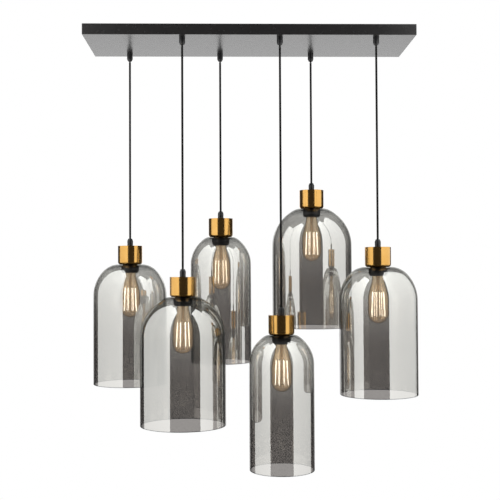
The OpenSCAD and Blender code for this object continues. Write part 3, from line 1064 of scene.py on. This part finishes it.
@dataclass(frozen=True)
class Pendant:
    """One lamp with everything that hangs from its bar grip.

    Args:
        lamp: its place, its cord and its shade.
        slack: gap between the bar grip's mouth and the end of the cord's free part.
        into_cup: how far above the glass seat the cord ends, on the lampholder's floor.
        step: distance between the points of the cord's path.
        cup_r: outside radius of the brass cup.
        shoulder: radius of its lower shoulder.
        cup_wall: thickness of its brass.
        smoke_depth: distance below the seat at which the shade's smoke is full.
    """

    lamp: Lamp
    slack: float = 0.3
    into_cup: float = 14.6
    step: float = 25.0
    cup_r: float = 30.0
    shoulder: float = 6.0
    cup_wall: float = 1.2
    smoke_depth: float = 180.0

    @property
    def body(self) -> str:
        """The body that it rides on."""
        return f"pendant_{self.lamp.number}"

    def name(self, words: str) -> str:
        """A piece's name with the lamp's number."""
        return f"{words}_{self.lamp.number}"

    def seat(self, z: float = 0.0) -> Vector:
        """A point on the lamp's axis, z above its glass seat."""
        return Vector((self.lamp.x, self.lamp.y, self.lamp.seat + z))

    def cord(self) -> None:
        """The braided cord, straight under the lamp's weight, down to the lampholder's floor."""
        x, y = self.lamp.x, self.lamp.y
        top = MOUTH_Z - CORD_D / 2 - self.slack
        bottom = self.lamp.seat + self.into_cup
        count = max(2, round((top - bottom) / self.step))
        heights = [top + (bottom - top) * k / count for k in range(count + 1)]
        path = [(x * MM, y * MM, z * MM) for z in heights]
        curve = bpy.data.curves.new(self.name("Braided_cord"), "CURVE")
        curve.dimensions = "3D"
        curve.bevel_depth = CORD_D / 2 * MM
        curve.bevel_resolution = 6
        curve.use_fill_caps = True
        spline = curve.splines.new("POLY")
        spline.points.add(count)
        for point, co in zip(spline.points, path):
            point.co = (*co, 1.0)
        spline.use_smooth = True
        curve.materials.append(Finish.BRAID.material())
        piece = bpy.data.objects.new(curve.name, curve)
        bpy.context.scene.collection.objects.link(piece)
        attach(piece, self.body)
        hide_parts(self.name("cord"))
        log.info("%s is %.0f mm long", piece.name, top - bottom)

    def cord_root(self) -> None:
        """The short bend of the cord in the grip's mouth."""
        Shape().ball((self.lamp.x, self.lamp.y, MOUTH_Z), CORD_D, 16).finish(
            self.name("Cord_bend"), [Finish.BRAID], self.name("cord_bend"),
            [self.name("cord_root")], "braided_cord")

    def grip(self) -> None:
        """The cord grip on top of the brass cup."""
        shape = Shape()
        Grip(tail=8.9).add(shape, self.seat(CUP_H), up=True)
        shape.finish(
            self.name("Cord_grip"), [Finish.BLACK_PLASTIC], self.body, [self.name("cord_grip")],
            "black_plastic")

    def cup(self) -> None:
        """The spun brass cup with its crisp top edge and rounded lower shoulder."""
        r, t, bend = self.cup_r, self.cup_wall, self.shoulder
        flat = r - bend
        outline = (
            [(21.0, 0.0), (flat, 0.0)] + arc((flat, bend), bend, -90, 0, 8)[1:]
            + [(r, 26.0), (r, CUP_H), (5.2, CUP_H), (5.2, CUP_H - t), (r - t, CUP_H - t)]
            + [(r - t, bend)] + arc((flat, bend), bend - t, 0, -90, 6)[1:] + [(21.0, t)]
        )
        Shape().spin(outline, 96).soften(0.35, 60).move(self.seat()).finish(
            self.name("Brass_cup"), [Finish.BRASS], self.body, [self.name("brass_cup")],
            "spun_brass")

    def ring(self) -> None:
        """The screwed ring under the glass: flange, ribbed body and tapered foot."""
        outline = [
            (18.1, -GLASS_T), (27.5, -GLASS_T), (27.5, -4.5), (21.4, -4.5), (21.4, -14.3),
            (21.75, -14.5), (19.3, -20.0), (18.1, -20.0),
        ]
        shape = Shape().spin(outline, 72).soften(0.25, 50)
        shape.boxes((0.9, 1.7, 9.0), (21.3, 0, -9.4), 36).move(self.seat()).finish(
            self.name("Shade_ring"), [Finish.BLACK_PLASTIC], self.body, [self.name("shade_ring")],
            "black_plastic")

    def shade(self) -> None:
        """The blown shade with separate finishes for its outer skin, inner skin and rim."""
        outline = ShadeOutline(self.lamp.size)
        shape = Shape().spin(outline.loop(), 128)
        shape.mark("smoke", lambda z: min(-z / self.smoke_depth, 1.0))
        bmesh.ops.recalc_face_normals(shape.bm, faces=shape.bm.faces)
        shape.bm.faces.index_update()
        sides = {face.index: outline.side(face) for face in shape.bm.faces}
        shape.move(self.seat()).finish(
            self.name("Glass_shade"), [Finish.SHADE_OUT, Finish.SHADE_IN, Finish.SHADE_RIM],
            self.body, [self.name("glass_shade")], "smoked_glass",
            pick=lambda face: sides[face.index])

    def build(self) -> None:
        """Makes all of the lamp's pieces but the cord, which comes first of all."""
        self.cord_root()
        self.grip()
        self.cup()
        self.ring()
        self.shade()
        cover(self.name("lampholder"), Finish.BLACK_PLASTIC)
        Bulb(self.lamp.number, self.seat()).build()


# Studio


@dataclass(frozen=True)
class Softbox:
    """A large even light that only mirrors and lights the object.

    Args:
        name: the light's name.
        centre: its middle, in metres.
        aim: the point that it faces, in metres.
        size: its width and height, in metres.
        glow: its brightness at its two upright edges, the left one first as seen from behind it,
            where 1 is white.
        fade: how much dimmer its foot and how much brighter its head is than its middle.
    """

    name: str
    centre: Triple
    aim: Triple
    size: tuple[float, float]
    glow: Span
    fade: float = 0.0

    def build(self) -> None:
        """Adds the light."""
        light = bpy.data.lights.new(self.name, "AREA")
        light.shape = "RECTANGLE"
        light.size, light.size_y = self.size
        light.energy = math.pi * self.size[0] * self.size[1]
        light.use_nodes = True
        tree = light.node_tree
        place = add_node(tree, "ShaderNodeNewGeometry").outputs["Parametric"]
        axes = add_node(tree, "ShaderNodeSeparateXYZ", {0: place}).outputs
        factors: Inputs = {}
        for k, (low, high) in enumerate((self.glow, (1 - self.fade, 1 + self.fade))):
            inputs = {"Value": axes[k], "To Min": low, "To Max": high}
            factors[k] = add_node(tree, "ShaderNodeMapRange", inputs).outputs[0]
        glow = add_node(tree, "ShaderNodeMath", factors, operation="MULTIPLY").outputs[0]
        tree.links.new(glow, tree.nodes["Emission"].inputs["Strength"])
        piece = bpy.data.objects.new(self.name, light)
        piece.location = self.centre
        way = Vector(self.aim) - Vector(self.centre)
        piece.rotation_euler = way.to_track_quat("-Z", "Y").to_euler()
        piece.visible_camera = False
        bpy.context.scene.collection.objects.link(piece)
        log.info("%s lights the object", self.name)


@dataclass(frozen=True)
class Studio:
    """The camera, the white surroundings and the lights.

    Args:
        focal_px: the camera's focal length in pixels of its frame.
        frame_px: the frame's width in pixels.
        sensor: the camera's sensor width.
        place: where the camera stands.
        yaw: how far it is turned about Z, in degrees; minus is to the right.
        pitch: how far it looks up, in degrees.
        roll: how far it is turned about its own line of sight, in degrees.
        floor_z: height of the floor, in metres.
        floor_half: half its width, in metres.
    """

    focal_px: float = 927.2
    frame_px: float = 500.0
    sensor: float = 36.0
    place: Triple = (-57.9, -2225.8, -574.0)
    yaw: float = -1.503
    pitch: float = 1.456
    roll: float = 0.272
    floor_z: float = -2.4
    floor_half: float = 5.0

    SOFTBOXES: ClassVar[tuple[Softbox, ...]] = (
        Softbox(
            "Left_softbox", (-0.61, -0.28, -0.3), (0.39, -0.12, -0.3), (0.93, 2.7), (1.5, 1.8),
            fade=0.45,
        ),
        Softbox(
            "Right_softbox", (0.61, -0.28, -0.3), (-0.39, -0.12, -0.3), (0.93, 2.7), (1.8, 1.5),
            fade=0.45,
        ),
        Softbox("Back_sheet", (0.0, 3.0, -0.9), (0.0, 0.0, -0.6), (2.4, 2.4), (1.4, 1.4)),
    )

    def camera(self) -> None:
        """The photograph's camera."""
        data = bpy.data.cameras.new("Camera")
        data.sensor_width = self.sensor
        data.lens = self.focal_px / self.frame_px * self.sensor
        piece = bpy.data.objects.new("Camera", data)
        turn = Matrix.Identity(4)
        for angle, axis in ((self.yaw, "Z"), (self.pitch, "X"), (self.roll, "Y"), (90, "X")):
            turn = turn @ Matrix.Rotation(math.radians(angle), 4, axis)
        piece.matrix_world = Matrix.Translation(Vector(self.place) * MM) @ turn
        bpy.context.scene.collection.objects.link(piece)
        bpy.context.scene.camera = piece

    def world(self) -> None:
        """White behind the object and dim all round it."""
        world = bpy.data.worlds.new("Studio")
        bpy.context.scene.world = world
        world.use_nodes = True
        tree = world.node_tree
        tree.nodes.clear()
        path = add_node(tree, "ShaderNodeLightPath").outputs
        rays = {0: path["Is Camera Ray"], 1: path["Is Transmission Ray"]}
        seen = add_node(tree, "ShaderNodeMath", rays, operation="MAXIMUM").outputs[0]
        dim = add_node(tree, "ShaderNodeBackground", {"Color": srgb("#444344")}).outputs[0]
        white = add_node(tree, "ShaderNodeBackground", {"Color": (1, 1, 1, 1)}).outputs[0]
        mixed = add_node(tree, "ShaderNodeMixShader", {0: seen, 1: dim, 2: white}).outputs[0]
        add_node(tree, "ShaderNodeOutputWorld", {"Surface": mixed})

    def floor(self) -> None:
        """A pale floor far below, plain white to the camera and open from underneath."""
        r = Recipe("Pale floor")
        pale = r.surface({"Base Color": srgb("#e4e3e1"), "Roughness": 0.8})
        white = r.node("ShaderNodeEmission", {"Color": (1, 1, 1, 1), "Strength": 1.0}).outputs[0]
        seen = r.node("ShaderNodeLightPath").outputs["Is Camera Ray"]
        upper = r.node("ShaderNodeMixShader", {0: seen, 1: pale, 2: white}).outputs[0]
        under = r.node("ShaderNodeNewGeometry").outputs["Backfacing"]
        clear = r.node("ShaderNodeBsdfTransparent").outputs[0]
        both = r.node("ShaderNodeMixShader", {0: under, 1: upper, 2: clear}).outputs[0]
        mesh = bpy.data.meshes.new("Floor")
        bm = bmesh.new()
        level = Matrix.Translation((0, 0, self.floor_z))
        bmesh.ops.create_grid(bm, size=self.floor_half, matrix=level)
        bm.to_mesh(mesh)
        bm.free()
        mesh.materials.append(r.finish(both))
        piece = bpy.data.objects.new("Floor", mesh)
        bpy.context.scene.collection.objects.link(piece)

    def settings(self) -> None:
        """Plain view, and enough steps for light through many skins of glass."""
        scene = bpy.context.scene
        scene.view_settings.view_transform = "Standard"
        scene.cycles.transparent_max_bounces = 48
        scene.cycles.max_bounces = 16
        scene.cycles.glossy_bounces = 8

    def build(self) -> None:
        """Sets up everything but the object."""
        self.camera()
        self.world()
        for softbox in self.SOFTBOXES:
            softbox.build()
        self.floor()
        self.settings()


def main() -> None:
    """Makes the studio, then the cords, then everything else."""
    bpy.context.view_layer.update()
    Studio().build()
    pendants = [Pendant(lamp) for lamp in LAMPS]
    for pendant in pendants:
        pendant.cord()
    Ceiling().build()
    for pendant in pendants:
        pendant.build()


if __name__ == "__main__":
    main()
